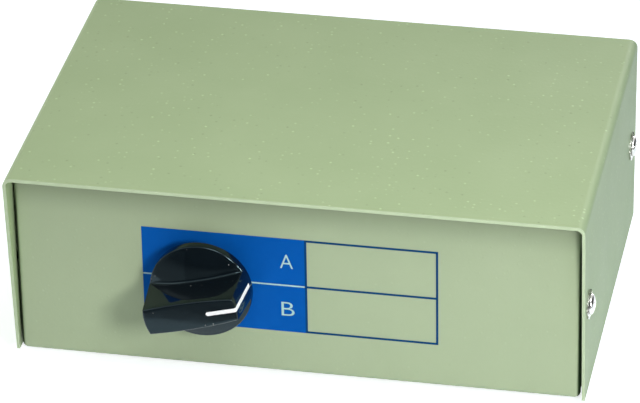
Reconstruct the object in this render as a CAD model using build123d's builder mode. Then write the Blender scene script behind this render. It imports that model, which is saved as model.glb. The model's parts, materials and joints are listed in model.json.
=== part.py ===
"""Coaxial A/B switch box: a sheet-steel case, a rotary wafer switch and three BNC jacks.

Frame: +X to the right as seen from the front, +Y to the rear, +Z up.
The origin lies under the middle of the whole part, at the underside of the feet.
"""

import os
from math import asin, cos, degrees, pi, radians, sin, tan

from build123d import *

# ---------------------------------------------------------------- case
cover_width = 150.0
cover_depth = 100.5
cover_height = 54.0
cover_sheet = 0.8
cover_bend = 2.2  # outer bend radius
visor_slant = 4.7  # how far the top front edge overhangs the bottom one

chassis_sheet = 1.0
chassis_bend = 1.6  # outer bend radius
panel_recess = 5.0  # front panel behind the cover's top front edge
rear_recess = 2.0  # rear panel inside the cover's rear edge
side_gap = 0.5  # cover wall to chassis flange
top_gap = 0.6  # cover top to the panels' upper edges
flange_depth = 15.0  # returns at the panels' side edges
corner_relief = 2.5  # notch between floor and return

foot_height = 3.0
foot_radius = 6.0
foot_stem_radius = 1.9
foot_barb_radius = 2.6
foot_barb_height = 1.6
foot_barb_taper = 0.6  # the barb's tip, as a share of the stem
foot_chamfer = 0.5
foot_draft = 0.4
foot_inset_x = 16.0
foot_inset_y = 15.0

# ---------------------------------------------------------------- cover screws
screw_height = 27.0  # above the case's lower edge
screw_inset_front = 8.3
screw_inset_rear = 10.2
screw_radius = 1.5
screw_length = 6.0
screw_head_radius = 2.7
screw_head_height = 1.3
screw_head_round = 0.75  # share of the head's height
screw_washer_radius = 3.85
screw_washer_root = 2.75  # where its teeth begin
screw_washer_teeth = 10
screw_washer_gap = 0.75
screw_washer_thickness = 0.5
cross_recess_span = 3.2
cross_recess_width = 0.7
cross_recess_depth = 0.9
cross_recess_turn = 35.0
screw_collar_radius = 2.2  # drawn and tapped collar in the return
screw_collar_height = 1.6

# ---------------------------------------------------------------- fits
thread_clearance = 0.05
hole_clearance = 0.15
running_clearance = 0.05

# ---------------------------------------------------------------- selector axis and knob
axis_inset = 51.4  # from the case's left side
axis_height = 26.6  # above the case's lower edge
rest_angle = 15.0  # pointer above the horizontal at position A
step_angle = 30.0  # from A round to B

knob_standoff = 4.2  # panel to the back of the knob
knob_height = 14.8
disc_radius = 13.3
disc_thickness = 2.6  # the straight wall at the knob's rim
disc_edge_round = 0.35
dome_rise = 2.6  # rim to the middle of the disc's convex front
end_radius = 12.4  # both ends of the grip at its front face
base_half_tail = 4.5
base_half_middle = 4.8
base_half_nose = 4.05
front_half_tail = 3.4
front_half_middle = 3.87
front_half_nose = 2.8
bar_edge_round = 0.5
line_width = 1.1
line_depth = 0.35
line_start = 4.3
rim_wall = 1.2
rim_recess = 1.4  # hollow behind the disc, round the boss
boss_radius = 6.4
insert_radius = 3.9
insert_length = 7.0
set_screw_radius = 1.5
set_screw_length = 4.0
set_screw_height = 4.6

# ---------------------------------------------------------------- rotary switch
bushing_radius = 4.76
lock_washer_thickness = 0.5
lock_washer_radius = 7.6
nut_across_flats = 12.7
nut_thickness = 2.3
bushing_beyond_nut = 0.8
plate_thickness = 1.5
plate_radius = 17.0
tie_pitch = 36.0
tie_ear_radius = 4.0
lug_distance = 11.5
lug_radius = 1.3
shaft_radius = 3.175
clip_thickness = 0.5
clip_radius = 5.0
clip_groove_radius = 2.5
clip_air = 0.1
shaft_flat = 2.8  # axis to the flat that the set screw meets
flat_setback = 1.0
shaft_end_air = 0.3
wheel_air = 0.6  # plate to index wheel
wheel_thickness = 2.0
wheel_radius = 9.6
wheel_spigot_radius = 2.6
notch_radius = 1.4
notch_count = 12
stop_arm_reach = 13.2
stop_arm_width = 3.4
stop_arm_lead = 60.0  # stop arm ahead of the pointer
stop_pin_radius = 1.0
stop_pin_circle = 12.0
stop_clearance = 0.1
spring_thickness = 0.4
spring_width = 2.6
spring_length = 20.0
spring_foot = 4.0
spring_rivet_radius = 0.9
spring_rivet_head = 1.6
spring_rivet_head_height = 0.6
spring_rivet_shares = (0.5, 1.5)  # up the foot, in foot widths
spring_air = 0.35  # wheel rim to the strip
wafer_stand = 10.5  # plate to wafer, the spacers' length
wafer_thickness = 1.6
wafer_radius = 16.0
spacer_radius = 2.8
tie_radius = 1.5
tie_head_radius = 2.75
tie_head_height = 2.0
rotor_radius = 6.8
rotor_clearance = 0.2
blade_width = 4.6
blade_thickness = 1.8
blade_beyond_rotor = 1.6
contact_sheet = 0.4
contact_air = 0.05
ring_bore_radius = 2.75
ring_radius = 4.9
lobe_radius = 6.4
lobe_width = 2.6
terminal_width = 2.6
terminal_reach = 22.5
terminal_step = 9.2
common_finger_end = 3.6
pole_finger_end = 5.4
terminal_eyelet_radius = 1.0
terminal_eyelet_at = 12.5
eyelet_height = 0.4
eyelet_head_radius = 1.7
terminal_angles = {"common": 180.0, "a": rest_angle, "b": rest_angle - step_angle}

# ---------------------------------------------------------------- BNC jacks
jack_inset = 30.0  # from the case's sides to the outer jacks
jack_height = 26.6  # above the case's lower edge
barrel_radius = 4.825
barrel_length = 11.0
barrel_bore = 4.05
socket_depth = 8.4
lug_pin_radius = 1.0
lug_across = 11.0
lug_from_mouth = 5.0
jack_flange_radius = 7.2
jack_flange_thickness = 2.2
jack_thread_radius = 4.76
jack_thread_length = 6.4
jack_flat = 4.25  # axis to the key flat
dielectric_radius = 2.4
dielectric_setback = 2.0
collar_radius = 3.3
collar_length = 2.4
contact_radius = 1.15
contact_bore = 0.68
contact_bore_depth = 5.0
cup_beyond_collar = 3.0
cup_depth = 2.0
mouth_chamfer = 0.35
tag_thickness = 0.6
tag_radius = 6.8
tag_arm_reach = 13.0
tag_arm_width = 3.0
tag_eye_radius = 0.8
jack_washer_thickness = 0.8
jack_washer_radius = 6.6
washer_notches = 10
washer_notch_radius = 0.5
jack_nut_across_flats = 12.7
jack_nut_thickness = 2.2

# ---------------------------------------------------------------- coaxial leads
lead_radius = 1.4
core_radius = 0.7
core_bare = 3.5
wire_inset = 1.3  # from the tag's outer end
lead_straight_share = 0.3
run_share = 0.45
lead_slack = {"common": (-7.0, 2.5), "a": (-6.0, 3.0), "b": (-4.0, 2.0)}  # sag, sideways drift

# ---------------------------------------------------------------- places worked out from the above
box_bottom = foot_height
box_top = box_bottom + cover_height
knob_reach = knob_standoff + knob_height - panel_recess  # ahead of the cover
jack_reach = jack_flange_thickness + barrel_length - rear_recess  # behind it
front_edge_y = (knob_reach - cover_depth - jack_reach) / 2
rear_edge_y = front_edge_y + cover_depth
panel_y = front_edge_y + panel_recess
panel_back_y = panel_y + chassis_sheet
rear_y = rear_edge_y - rear_recess
rear_inside_y = rear_y - chassis_sheet
chassis_half = cover_width / 2 - cover_sheet - side_gap
chassis_top = box_top - cover_sheet - top_gap
axis_x = axis_inset - cover_width / 2
jack_spacing = cover_width / 2 - jack_inset
screw_z = box_bottom + screw_height
screw_ys = (front_edge_y + screw_inset_front, rear_edge_y - screw_inset_rear)
axis_z = box_bottom + axis_height
jack_z = box_bottom + jack_height
knob_back_y = panel_y - knob_standoff
bushing_end_y = panel_y - lock_washer_thickness - nut_thickness - bushing_beyond_nut
plate_back_y = panel_back_y + plate_thickness
wheel_y = plate_back_y + wheel_air
wafer_y = plate_back_y + wafer_stand
wafer_back_y = wafer_y + wafer_thickness
shaft_end_y = wafer_back_y + blade_beyond_rotor
cup_end_y = rear_y - jack_thread_length - collar_length - cup_beyond_collar

parts = {}


def keep(name, part):
    """Label a finished piece and remember it for export."""
    part.label = name
    parts[name] = part


def front_plane(y, x=0.0, z=0.0, turn=0.0):
    """Plane at depth y that faces the front; its x direction is turned up from +X."""
    return Plane(
        origin=(x, y, z),
        x_dir=(cos(radians(turn)), 0, sin(radians(turn))),
        z_dir=(0, -1, 0),
    )


def side_plane(side, x):
    """Plane that faces out of the left (-1) or right (+1) side at distance x from the middle."""
    return Plane(origin=(side * x, 0, 0), x_dir=(0, side, 0), z_dir=(side, 0, 0))


# ---------------------------------------------------------------- cover
def make_cover():
    with BuildPart() as cover:
        with BuildSketch(front_plane(front_edge_y)) as outer:
            with Locations((0, box_bottom)):
                Rectangle(cover_width, cover_height, align=(Align.CENTER, Align.MIN))
            fillet(outer.vertices().group_by(Axis.Y)[-1], cover_bend)
        extrude(amount=-cover_depth)
        with BuildSketch(front_plane(front_edge_y)) as inner:
            with Locations((0, box_bottom)):
                Rectangle(
                    cover_width - 2 * cover_sheet,
                    cover_height - cover_sheet,
                    align=(Align.CENTER, Align.MIN),
                )
            fillet(inner.vertices().group_by(Axis.Y)[-1], cover_bend - cover_sheet)
        extrude(amount=-cover_depth, mode=Mode.SUBTRACT)
        # the side walls' front edges slant back below the bends
        with BuildSketch(Plane.YZ):
            with BuildLine():
                Polyline(
                    (front_edge_y, box_top - cover_bend),
                    (front_edge_y + visor_slant, box_bottom),
                    (front_edge_y - visor_slant, box_bottom),
                    close=True,
                )
            make_face()
        extrude(amount=cover_width, both=True, mode=Mode.SUBTRACT)
        for y in screw_ys:
            with Locations((0, y, screw_z)):
                Cylinder(
                    screw_radius + hole_clearance,
                    cover_width,
                    rotation=(0, 90, 0),
                    mode=Mode.SUBTRACT,
                )
    keep("cover", cover.part)


# ---------------------------------------------------------------- chassis
foot_points = {
    "front_left": (-chassis_half + foot_inset_x, panel_y + foot_inset_y),
    "front_right": (chassis_half - foot_inset_x, panel_y + foot_inset_y),
    "rear_left": (-chassis_half + foot_inset_x, rear_y - foot_inset_y),
    "rear_right": (chassis_half - foot_inset_x, rear_y - foot_inset_y),
}
jack_points = {"common": -jack_spacing, "a": 0.0, "b": jack_spacing}


def d_shape(radius, flat):
    """Circle with its lower side cut off at the key flat."""
    Circle(radius)
    with Locations((0, -flat)):
        Rectangle(2 * radius, radius, align=(Align.CENTER, Align.MAX), mode=Mode.SUBTRACT)


def make_chassis():
    depth = rear_y - panel_y
    height = chassis_top - box_bottom
    with BuildPart() as chassis:
        with Locations((0, (panel_y + rear_y) / 2, box_bottom)):
            Box(2 * chassis_half, depth, height, align=(Align.CENTER, Align.CENTER, Align.MIN))
        fillet(chassis.edges().filter_by(Axis.Z), chassis_bend)
        floor_edges = chassis.faces().sort_by(Axis.Z)[0].edges()
        fillet(floor_edges, chassis_bend)
        offset(amount=-chassis_sheet, openings=chassis.faces().sort_by(Axis.Z)[-1])
        # the side walls are open between the returns
        with Locations((0, (panel_y + rear_y) / 2, box_bottom)):
            Box(
                2 * chassis_half,
                depth - 2 * flange_depth,
                height,
                align=(Align.CENTER, Align.CENTER, Align.MIN),
                mode=Mode.SUBTRACT,
            )
        # the floor between the side openings
        with Locations((0, (panel_y + rear_y) / 2, box_bottom)):
            Box(
                2 * (chassis_half - chassis_bend),
                depth - 2 * flange_depth,
                chassis_sheet,
                align=(Align.CENTER, Align.CENTER, Align.MIN),
            )
        # relief notches free the returns from the floor
        notch_middle = flange_depth / 2 + chassis_bend
        for side in (-1, 1):
            for y in (panel_y + notch_middle, rear_y - notch_middle):
                with Locations((side * chassis_half, y, box_bottom)):
                    Box(
                        2 * chassis_bend,
                        flange_depth,
                        corner_relief,
                        align=(Align.CENTER, Align.CENTER, Align.MIN),
                        mode=Mode.SUBTRACT,
                    )
        # drawn collars in the returns, tapped for the cover screws
        for side in (-1, 1):
            inside = side_plane(-side, chassis_sheet - chassis_half)
            for y in screw_ys:
                with Locations(inside.location * Pos(-side * y, screw_z, 0)):
                    Cylinder(
                        screw_collar_radius,
                        screw_collar_height,
                        align=(Align.CENTER, Align.CENTER, Align.MIN),
                    )
                with Locations((side * chassis_half, y, screw_z)):
                    Cylinder(
                        screw_radius + thread_clearance,
                        2 * (screw_collar_height + chassis_sheet),
                        rotation=(0, 90, 0),
                        mode=Mode.SUBTRACT,
                    )
        # switch bushing and its locating lug
        with BuildSketch(front_plane(panel_y, axis_x, axis_z)):
            Circle(bushing_radius + hole_clearance)
            with Locations((0, -lug_distance)):
                Circle(lug_radius + hole_clearance)
        extrude(amount=-chassis_sheet, mode=Mode.SUBTRACT)
        # keyed jack holes
        for x in jack_points.values():
            with BuildSketch(front_plane(rear_inside_y, x, jack_z)):
                d_shape(jack_thread_radius + hole_clearance, jack_flat + hole_clearance)
            extrude(amount=-chassis_sheet, mode=Mode.SUBTRACT)
        for x, y in foot_points.values():
            with Locations((x, y, box_bottom)):
                Cylinder(
                    foot_stem_radius + thread_clearance,
                    chassis_sheet,
                    align=(Align.CENTER, Align.CENTER, Align.MIN),
                    mode=Mode.SUBTRACT,
                )
    keep("chassis", chassis.part)


def make_feet():
    """Push-in rubber feet: a tapered pad, a stem through the floor and a barb above it."""
    for name, (x, y) in foot_points.items():
        floor_top = foot_height + chassis_sheet
        with BuildPart() as foot:
            with BuildSketch(Plane(origin=(x, y, 0), x_dir=(1, 0, 0), z_dir=(0, -1, 0))):
                with BuildLine():
                    Polyline(
                        (0, 0),
                        (foot_radius - foot_chamfer, 0),
                        (foot_radius, foot_chamfer),
                        (foot_radius - foot_draft, foot_height),
                        (foot_stem_radius, foot_height),
                        (foot_stem_radius, floor_top),
                        (foot_barb_radius, floor_top),
                        (foot_stem_radius * foot_barb_taper, floor_top + foot_barb_height),
                        (0, floor_top + foot_barb_height),
                        close=True,
                    )
                make_face()
            revolve(axis=Axis((x, y, 0), (0, 0, 1)))
        keep(f"foot_{name}", foot.part)


# ---------------------------------------------------------------- cover screws
def screw_plane(side, y, x):
    """Plane on a cover screw's axis at distance x from the middle, facing outwards."""
    return Plane(origin=(side * x, y, screw_z), x_dir=(0, side, 0), z_dir=(side, 0, 0))


def make_cover_screws():
    """Four low cross-recess heads that draw the cover to the returns, each on a toothed washer."""
    seat = cover_width / 2 + screw_washer_thickness
    places = [(side, y) for side in (-1, 1) for y in screw_ys]
    with BuildPart() as screws:
        for side, y in places:
            with BuildSketch(screw_plane(side, y, seat)):
                Circle(screw_head_radius)
            extrude(amount=screw_head_height)
            with BuildSketch(screw_plane(side, y, seat)):
                Circle(screw_radius)
            extrude(amount=-screw_length)
        ends = screws.faces().filter_by(Plane.YZ).group_by(Axis.X)
        rims = ShapeList(list(ends[0]) + list(ends[-1])).edges()
        fillet(rims, screw_head_height * screw_head_round)
        for side, y in places:
            with BuildSketch(screw_plane(side, y, seat + screw_head_height)):
                Rectangle(cross_recess_span, cross_recess_width, rotation=cross_recess_turn)
                Rectangle(cross_recess_width, cross_recess_span, rotation=cross_recess_turn)
            extrude(amount=-cross_recess_depth, mode=Mode.SUBTRACT)
    keep("cover_screws", screws.part)
    with BuildPart() as washers:
        for side, y in places:
            with BuildSketch(screw_plane(side, y, cover_width / 2)):
                Circle(screw_washer_radius)
                Circle(screw_radius + hole_clearance, mode=Mode.SUBTRACT)
                with PolarLocations(screw_washer_root, screw_washer_teeth):
                    Rectangle(
                        screw_washer_radius,
                        screw_washer_gap,
                        align=(Align.MIN, Align.CENTER),
                        mode=Mode.SUBTRACT,
                    )
            extrude(amount=screw_washer_thickness)
    keep("cover_screw_washers", washers.part)


# ---------------------------------------------------------------- knob
knob_plane = front_plane(knob_back_y, axis_x, axis_z, rest_angle)


def bar_outline(plane, half_tail, half_middle, half_nose):
    """Plan of the grip, longer than the knob: two sides that bulge round the shaft."""
    reach = disc_radius + disc_edge_round
    with BuildSketch(plane) as outline:
        with BuildLine():
            Line((-reach, -half_tail), (-reach, half_tail))
            ThreePointArc((-reach, half_tail), (0, half_middle), (reach, half_nose))
            Line((reach, half_nose), (reach, -half_nose))
            ThreePointArc((reach, -half_nose), (0, -half_middle), (-reach, -half_tail))
        make_face()
    return outline.sketch


def knob_blank():
    """The knob before its line groove and bores: a round blank cut away to the grip and a dome."""
    base = bar_outline(
        knob_plane.offset(disc_thickness / 2), base_half_tail, base_half_middle, base_half_nose
    )
    front = bar_outline(
        knob_plane.offset(knob_height), front_half_tail, front_half_middle, front_half_nose
    )
    rim = -disc_thickness
    axis = Axis((axis_x, knob_back_y, axis_z), (0, 1, 0))
    axis_plane = Plane(origin=(axis_x, knob_back_y, axis_z), x_dir=(1, 0, 0), z_dir=(0, 0, 1))
    # local axes of this plane: x away from the axis, y towards the case
    with BuildPart() as blank:
        loft(sections=[base, front])
        with BuildSketch(axis_plane):
            Polygon(
                (0, 0),
                (disc_radius, 0),
                (disc_radius, rim),
                (end_radius, -knob_height),
                (0, -knob_height),
                align=None,
            )
        revolve(axis=axis, mode=Mode.INTERSECT)
        fillet(blank.faces().sort_by(Axis.Y)[0].edges(), bar_edge_round)
        with BuildSketch(axis_plane):
            with BuildLine():
                Line((0, rim - dome_rise), (0, 0))
                Line((0, 0), (disc_radius, 0))
                Line((disc_radius, 0), (disc_radius, rim + disc_edge_round))
                ThreePointArc(
                    (disc_radius, rim + disc_edge_round),
                    (
                        disc_radius - disc_edge_round * (1 - cos(pi / 4)),
                        rim + disc_edge_round * (1 - sin(pi / 4)),
                    ),
                    (disc_radius - disc_edge_round, rim),
                )
                ThreePointArc(
                    (disc_radius - disc_edge_round, rim),
                    (disc_radius / 2, rim - dome_rise * (1 - 0.5**2)),
                    (0, rim - dome_rise),
                )
            make_face()
        revolve(axis=axis)
    return blank


def make_knob():
    blank = knob_blank()
    line_plane = Plane(origin=knob_plane.origin, x_dir=knob_plane.x_dir, z_dir=knob_plane.y_dir)
    # local axes of this plane: x along the pointer, y towards the case
    with BuildPart() as line:
        add(blank.part)
        with BuildSketch(line_plane):
            Polygon(
                (line_start, -knob_height),
                (disc_radius, -knob_height),
                (disc_radius, -disc_thickness),
                (disc_radius - line_depth, -disc_thickness),
                (end_radius - line_depth, line_depth - knob_height),
                (line_start, line_depth - knob_height),
                align=None,
            )
        extrude(amount=line_width / 2, both=True, mode=Mode.INTERSECT)
        with BuildSketch(knob_plane):
            with Locations((line_start + line_width / 2, 0)):
                Circle(line_width / 2)
                Rectangle(disc_radius, line_width, align=(Align.MIN, Align.CENTER))
        extrude(amount=knob_height, mode=Mode.INTERSECT)
    with BuildPart() as knob:
        add(blank.part)
        add(line.part, mode=Mode.SUBTRACT)
        # bore for the brass insert
        with BuildSketch(knob_plane):
            Circle(insert_radius)
        extrude(amount=insert_length, mode=Mode.SUBTRACT)
        # moulded hollow behind the disc, round the boss
        with BuildSketch(knob_plane):
            Circle(disc_radius - rim_wall)
            Circle(boss_radius, mode=Mode.SUBTRACT)
        extrude(amount=rim_recess, mode=Mode.SUBTRACT)
        # way in for the set screw, from the tail of the grip
        with BuildSketch(set_screw_plane()):
            Circle(set_screw_radius + hole_clearance)
        extrude(amount=disc_radius, mode=Mode.SUBTRACT)
    keep("knob", knob.part)
    keep("knob_pointer_line", line.part)


def set_screw_plane():
    """Plane through the knob's axis that faces its tail, at the set screw's height."""
    return Plane(
        origin=knob_plane.origin + knob_plane.z_dir * set_screw_height,
        x_dir=knob_plane.y_dir,
        z_dir=-knob_plane.x_dir,
    )


def make_knob_fittings():
    with BuildPart() as insert:
        with BuildSketch(knob_plane):
            Circle(insert_radius)
            Circle(shaft_radius + running_clearance, mode=Mode.SUBTRACT)
        extrude(amount=insert_length)
        with BuildSketch(set_screw_plane()):
            Circle(set_screw_radius + thread_clearance)
        extrude(amount=disc_radius, mode=Mode.SUBTRACT)
    keep("knob_insert", insert.part)
    with BuildPart() as set_screw:
        with BuildSketch(set_screw_plane().offset(shaft_radius)):
            Circle(set_screw_radius)
        extrude(amount=set_screw_length)
        with BuildSketch(set_screw_plane().offset(shaft_radius + set_screw_length)):
            Rectangle(2 * set_screw_radius, set_screw_radius / 2)
        extrude(amount=-set_screw_radius / 2, mode=Mode.SUBTRACT)
    keep("knob_set_screw", set_screw.part)


# ---------------------------------------------------------------- switch, fixed pieces
def spring_rivet_points():
    """Centres of the two rivets through the detent spring's foot."""
    rivet_x = -wheel_radius - spring_air - spring_thickness - spring_foot / 2
    return [(rivet_x, spring_foot * share - spring_length / 2) for share in spring_rivet_shares]


def make_front_plate():
    """Mounting plate with its threaded bushing, locating lug and tapped ears."""
    with BuildPart() as plate:
        with BuildSketch(front_plane(plate_back_y, axis_x, axis_z)):
            Circle(plate_radius)
            add(tie_ears())
            with GridLocations(0, tie_pitch, 1, 2):
                Circle(tie_radius + thread_clearance, mode=Mode.SUBTRACT)
            with Locations(*spring_rivet_points()):
                Circle(spring_rivet_radius + thread_clearance, mode=Mode.SUBTRACT)
            with Locations(*[polar(stop_pin_circle, angle) for angle in stop_pin_angles()]):
                Circle(stop_pin_radius + thread_clearance, mode=Mode.SUBTRACT)
        extrude(amount=plate_thickness)
        with BuildSketch(front_plane(panel_back_y, axis_x, axis_z)):
            Circle(bushing_radius)
        extrude(amount=panel_back_y - bushing_end_y)
        with BuildSketch(front_plane(panel_back_y, axis_x, axis_z)):
            with Locations((0, -lug_distance)):
                Circle(lug_radius)
        extrude(amount=chassis_sheet)
        with BuildSketch(front_plane(plate_back_y, axis_x, axis_z)):
            Circle(shaft_radius + running_clearance)
        extrude(amount=plate_back_y - bushing_end_y, mode=Mode.SUBTRACT)
    keep("switch_front_plate", plate.part)


def make_mounting_hardware():
    with BuildPart() as washer:
        with BuildSketch(front_plane(panel_y, axis_x, axis_z)):
            Circle(lock_washer_radius)
            with PolarLocations(lock_washer_radius, washer_notches):
                Circle(washer_notch_radius, mode=Mode.SUBTRACT)
            Circle(bushing_radius + hole_clearance, mode=Mode.SUBTRACT)
        extrude(amount=lock_washer_thickness)
    keep("switch_lock_washer", washer.part)
    with BuildPart() as nut:
        with BuildSketch(front_plane(panel_y - lock_washer_thickness, axis_x, axis_z)):
            RegularPolygon(nut_across_flats / 2, 6, major_radius=False)
            Circle(bushing_radius + thread_clearance, mode=Mode.SUBTRACT)
        extrude(amount=nut_thickness)
    keep("switch_mounting_nut", nut.part)


def make_detent():
    """Leaf spring whose rounded bump drops into the index wheel's notches, and its rivets."""
    strip_x = -wheel_radius - spring_air - spring_thickness  # outer side of the strip
    strip_back_y = wheel_y + (wheel_thickness + spring_width) / 2
    foot_z = -spring_length / 2
    rivet_points = spring_rivet_points()
    with BuildPart() as spring:
        with BuildSketch(front_plane(strip_back_y, axis_x, axis_z)):
            with Locations((strip_x, 0)):
                Rectangle(spring_thickness, spring_length, align=(Align.MIN, Align.CENTER))
            with Locations((-wheel_radius, 0)):
                Circle(notch_radius - running_clearance)
            with Locations((strip_x, 0)):
                Rectangle(
                    2 * notch_radius,
                    2 * notch_radius,
                    align=(Align.MAX, Align.CENTER),
                    mode=Mode.SUBTRACT,
                )
        extrude(amount=spring_width)
        with BuildSketch(front_plane(plate_back_y + spring_thickness, axis_x, axis_z)):
            with Locations((strip_x + spring_thickness, foot_z)):
                Rectangle(
                    spring_foot + spring_thickness, 2 * spring_foot, align=(Align.MAX, Align.MIN)
                )
            with Locations(*rivet_points):
                Circle(spring_rivet_radius + thread_clearance, mode=Mode.SUBTRACT)
        extrude(amount=spring_thickness)
    keep("detent_spring", spring.part)
    with BuildPart() as rivets:
        with BuildSketch(front_plane(plate_back_y + spring_thickness, axis_x, axis_z)):
            with Locations(*rivet_points):
                Circle(spring_rivet_radius)
        extrude(amount=spring_thickness + plate_thickness)
        with BuildSketch(front_plane(plate_back_y + spring_thickness, axis_x, axis_z)):
            with Locations(*rivet_points):
                Circle(spring_rivet_head)
        extrude(amount=-spring_rivet_head_height)
    keep("detent_rivets", rivets.part)


def stop_pin_angles():
    """Angles of the two pins that the index wheel's arm meets at A and at B."""
    reach = stop_arm_width / 2 + stop_pin_radius + stop_clearance
    swing = degrees(asin(reach / stop_pin_circle))
    at_rest = rest_angle + stop_arm_lead
    return at_rest + swing, at_rest - step_angle - swing


def polar(radius, angle):
    """Point in a front-facing sketch, at an angle up from +X."""
    return radius * cos(radians(angle)), radius * sin(radians(angle))


def make_stop_pins():
    with BuildPart() as pins:
        with BuildSketch(front_plane(wheel_y + wheel_thickness, axis_x, axis_z)):
            for angle in stop_pin_angles():
                with Locations(polar(stop_pin_circle, angle)):
                    Circle(stop_pin_radius)
        extrude(amount=wheel_y + wheel_thickness - panel_back_y)
    keep("stop_pins", pins.part)


def tie_ears():
    """Slot outline that carries the two tie screws, upright through the switch axis."""
    with BuildSketch() as ears:
        SlotCenterToCenter(tie_pitch, 2 * tie_ear_radius, rotation=90)
    return ears.sketch


def make_wafer():
    """Insulating wafer, the tubes that hold it off the plate and the two tie screws."""
    with BuildPart() as wafer:
        with BuildSketch(front_plane(wafer_back_y, axis_x, axis_z)):
            Circle(wafer_radius)
            add(tie_ears())
            Circle(rotor_radius + rotor_clearance, mode=Mode.SUBTRACT)
            with GridLocations(0, tie_pitch, 1, 2):
                Circle(tie_radius + hole_clearance, mode=Mode.SUBTRACT)
            for angle in terminal_angles.values():
                with Locations(polar(terminal_eyelet_at, angle)):
                    Circle(terminal_eyelet_radius + thread_clearance, mode=Mode.SUBTRACT)
        extrude(amount=wafer_thickness)
    keep("contact_wafer", wafer.part)
    with BuildPart() as spacers:
        with BuildSketch(front_plane(wafer_y, axis_x, axis_z)):
            with GridLocations(0, tie_pitch, 1, 2):
                Circle(spacer_radius)
                Circle(tie_radius + hole_clearance, mode=Mode.SUBTRACT)
        extrude(amount=wafer_stand)
    keep("wafer_spacers", spacers.part)
    with BuildPart() as ties:
        with BuildSketch(front_plane(wafer_back_y, axis_x, axis_z)):
            with GridLocations(0, tie_pitch, 1, 2):
                Circle(tie_radius)
        extrude(amount=wafer_back_y - panel_back_y)
        with BuildSketch(front_plane(wafer_back_y, axis_x, axis_z)):
            with GridLocations(0, tie_pitch, 1, 2):
                Circle(tie_head_radius)
        extrude(amount=-tie_head_height)
        with BuildSketch(front_plane(wafer_back_y + tie_head_height, axis_x, axis_z)):
            with GridLocations(0, tie_pitch, 1, 2):
                Rectangle(2 * tie_head_radius, cross_recess_width)
        extrude(amount=cross_recess_depth, mode=Mode.SUBTRACT)
    keep("tie_screws", ties.part)


def make_terminals():
    """Stepped contact fingers: a solder tag outside the wafer, a tip over the rotor contact."""
    lift = contact_sheet + contact_air
    for name, angle in terminal_angles.items():
        finger_end = common_finger_end if name == "common" else pole_finger_end
        ramp_end = terminal_step - 2 * contact_sheet
        radial = Plane(
            origin=(axis_x, wafer_back_y, axis_z),
            x_dir=(cos(radians(angle)), 0, sin(radians(angle))),
            z_dir=(-sin(radians(angle)), 0, cos(radians(angle))),
        )
        # in this plane y runs to the rear
        with BuildPart() as terminal:
            with BuildSketch(radial):
                with BuildLine():
                    Polyline(
                        (terminal_reach, 0),
                        (terminal_step, 0),
                        (ramp_end, lift),
                        (finger_end, lift),
                        (finger_end, lift + contact_sheet),
                        (ramp_end, lift + contact_sheet),
                        (terminal_step, contact_sheet),
                        (terminal_reach, contact_sheet),
                        close=True,
                    )
                make_face()
            extrude(amount=terminal_width / 2, both=True)
            with BuildSketch(front_plane(wafer_back_y + contact_sheet, axis_x, axis_z)):
                with Locations(polar(terminal_eyelet_at, angle)):
                    Circle(terminal_eyelet_radius + thread_clearance)
            extrude(amount=contact_sheet, mode=Mode.SUBTRACT)
        keep(f"terminal_{name}", terminal.part)
    # (depth of the outer face, radius, length towards the front) of each step of an eyelet
    finger_back_y = wafer_back_y + contact_sheet
    steps = (
        (finger_back_y + eyelet_height, eyelet_head_radius, eyelet_height),
        (finger_back_y, terminal_eyelet_radius, contact_sheet + wafer_thickness),
        (wafer_y, eyelet_head_radius, eyelet_height),
    )
    with BuildPart() as eyelets:
        for angle in terminal_angles.values():
            for y, radius, length in steps:
                with BuildSketch(front_plane(y, axis_x, axis_z)):
                    with Locations(polar(terminal_eyelet_at, angle)):
                        Circle(radius)
                extrude(amount=length)
    keep("terminal_eyelets", eyelets.part)


# ---------------------------------------------------------------- switch, turning pieces
def make_shaft():
    """Turned shaft: flat for the set screw, clip groove, spigot for the wheel, drive blade."""
    shaft_front_y = knob_back_y - insert_length + shaft_end_air
    with BuildPart() as shaft:
        with BuildSketch(front_plane(wheel_y, axis_x, axis_z)):
            Circle(shaft_radius)
        extrude(amount=wheel_y - shaft_front_y)
        with BuildSketch(front_plane(wheel_y + wheel_thickness, axis_x, axis_z)):
            Circle(wheel_spigot_radius)
        extrude(amount=wheel_thickness)
        with BuildSketch(front_plane(shaft_end_y, axis_x, axis_z, rest_angle)):
            Rectangle(blade_width, blade_thickness)
        extrude(amount=shaft_end_y - wheel_y - wheel_thickness)
        with BuildSketch(front_plane(bushing_end_y - clip_air, axis_x, axis_z)):
            Circle(shaft_radius)
            Circle(clip_groove_radius, mode=Mode.SUBTRACT)
        extrude(amount=clip_thickness, mode=Mode.SUBTRACT)
        with BuildSketch(front_plane(knob_back_y - flat_setback, axis_x, axis_z, rest_angle)):
            with Locations((-shaft_flat, 0)):
                Rectangle(shaft_radius, 2 * shaft_radius, align=(Align.MAX, Align.CENTER))
        extrude(amount=insert_length, mode=Mode.SUBTRACT)
    keep("switch_shaft", shaft.part)
    with BuildPart() as clip:
        with BuildSketch(front_plane(bushing_end_y - clip_air, axis_x, axis_z, rest_angle)):
            Circle(clip_radius)
            Circle(clip_groove_radius, mode=Mode.SUBTRACT)
            Rectangle(
                clip_radius,
                2 * clip_groove_radius - clip_thickness,
                align=(Align.MIN, Align.CENTER),
                mode=Mode.SUBTRACT,
            )
        extrude(amount=clip_thickness)
    keep("shaft_retaining_clip", clip.part)


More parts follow.
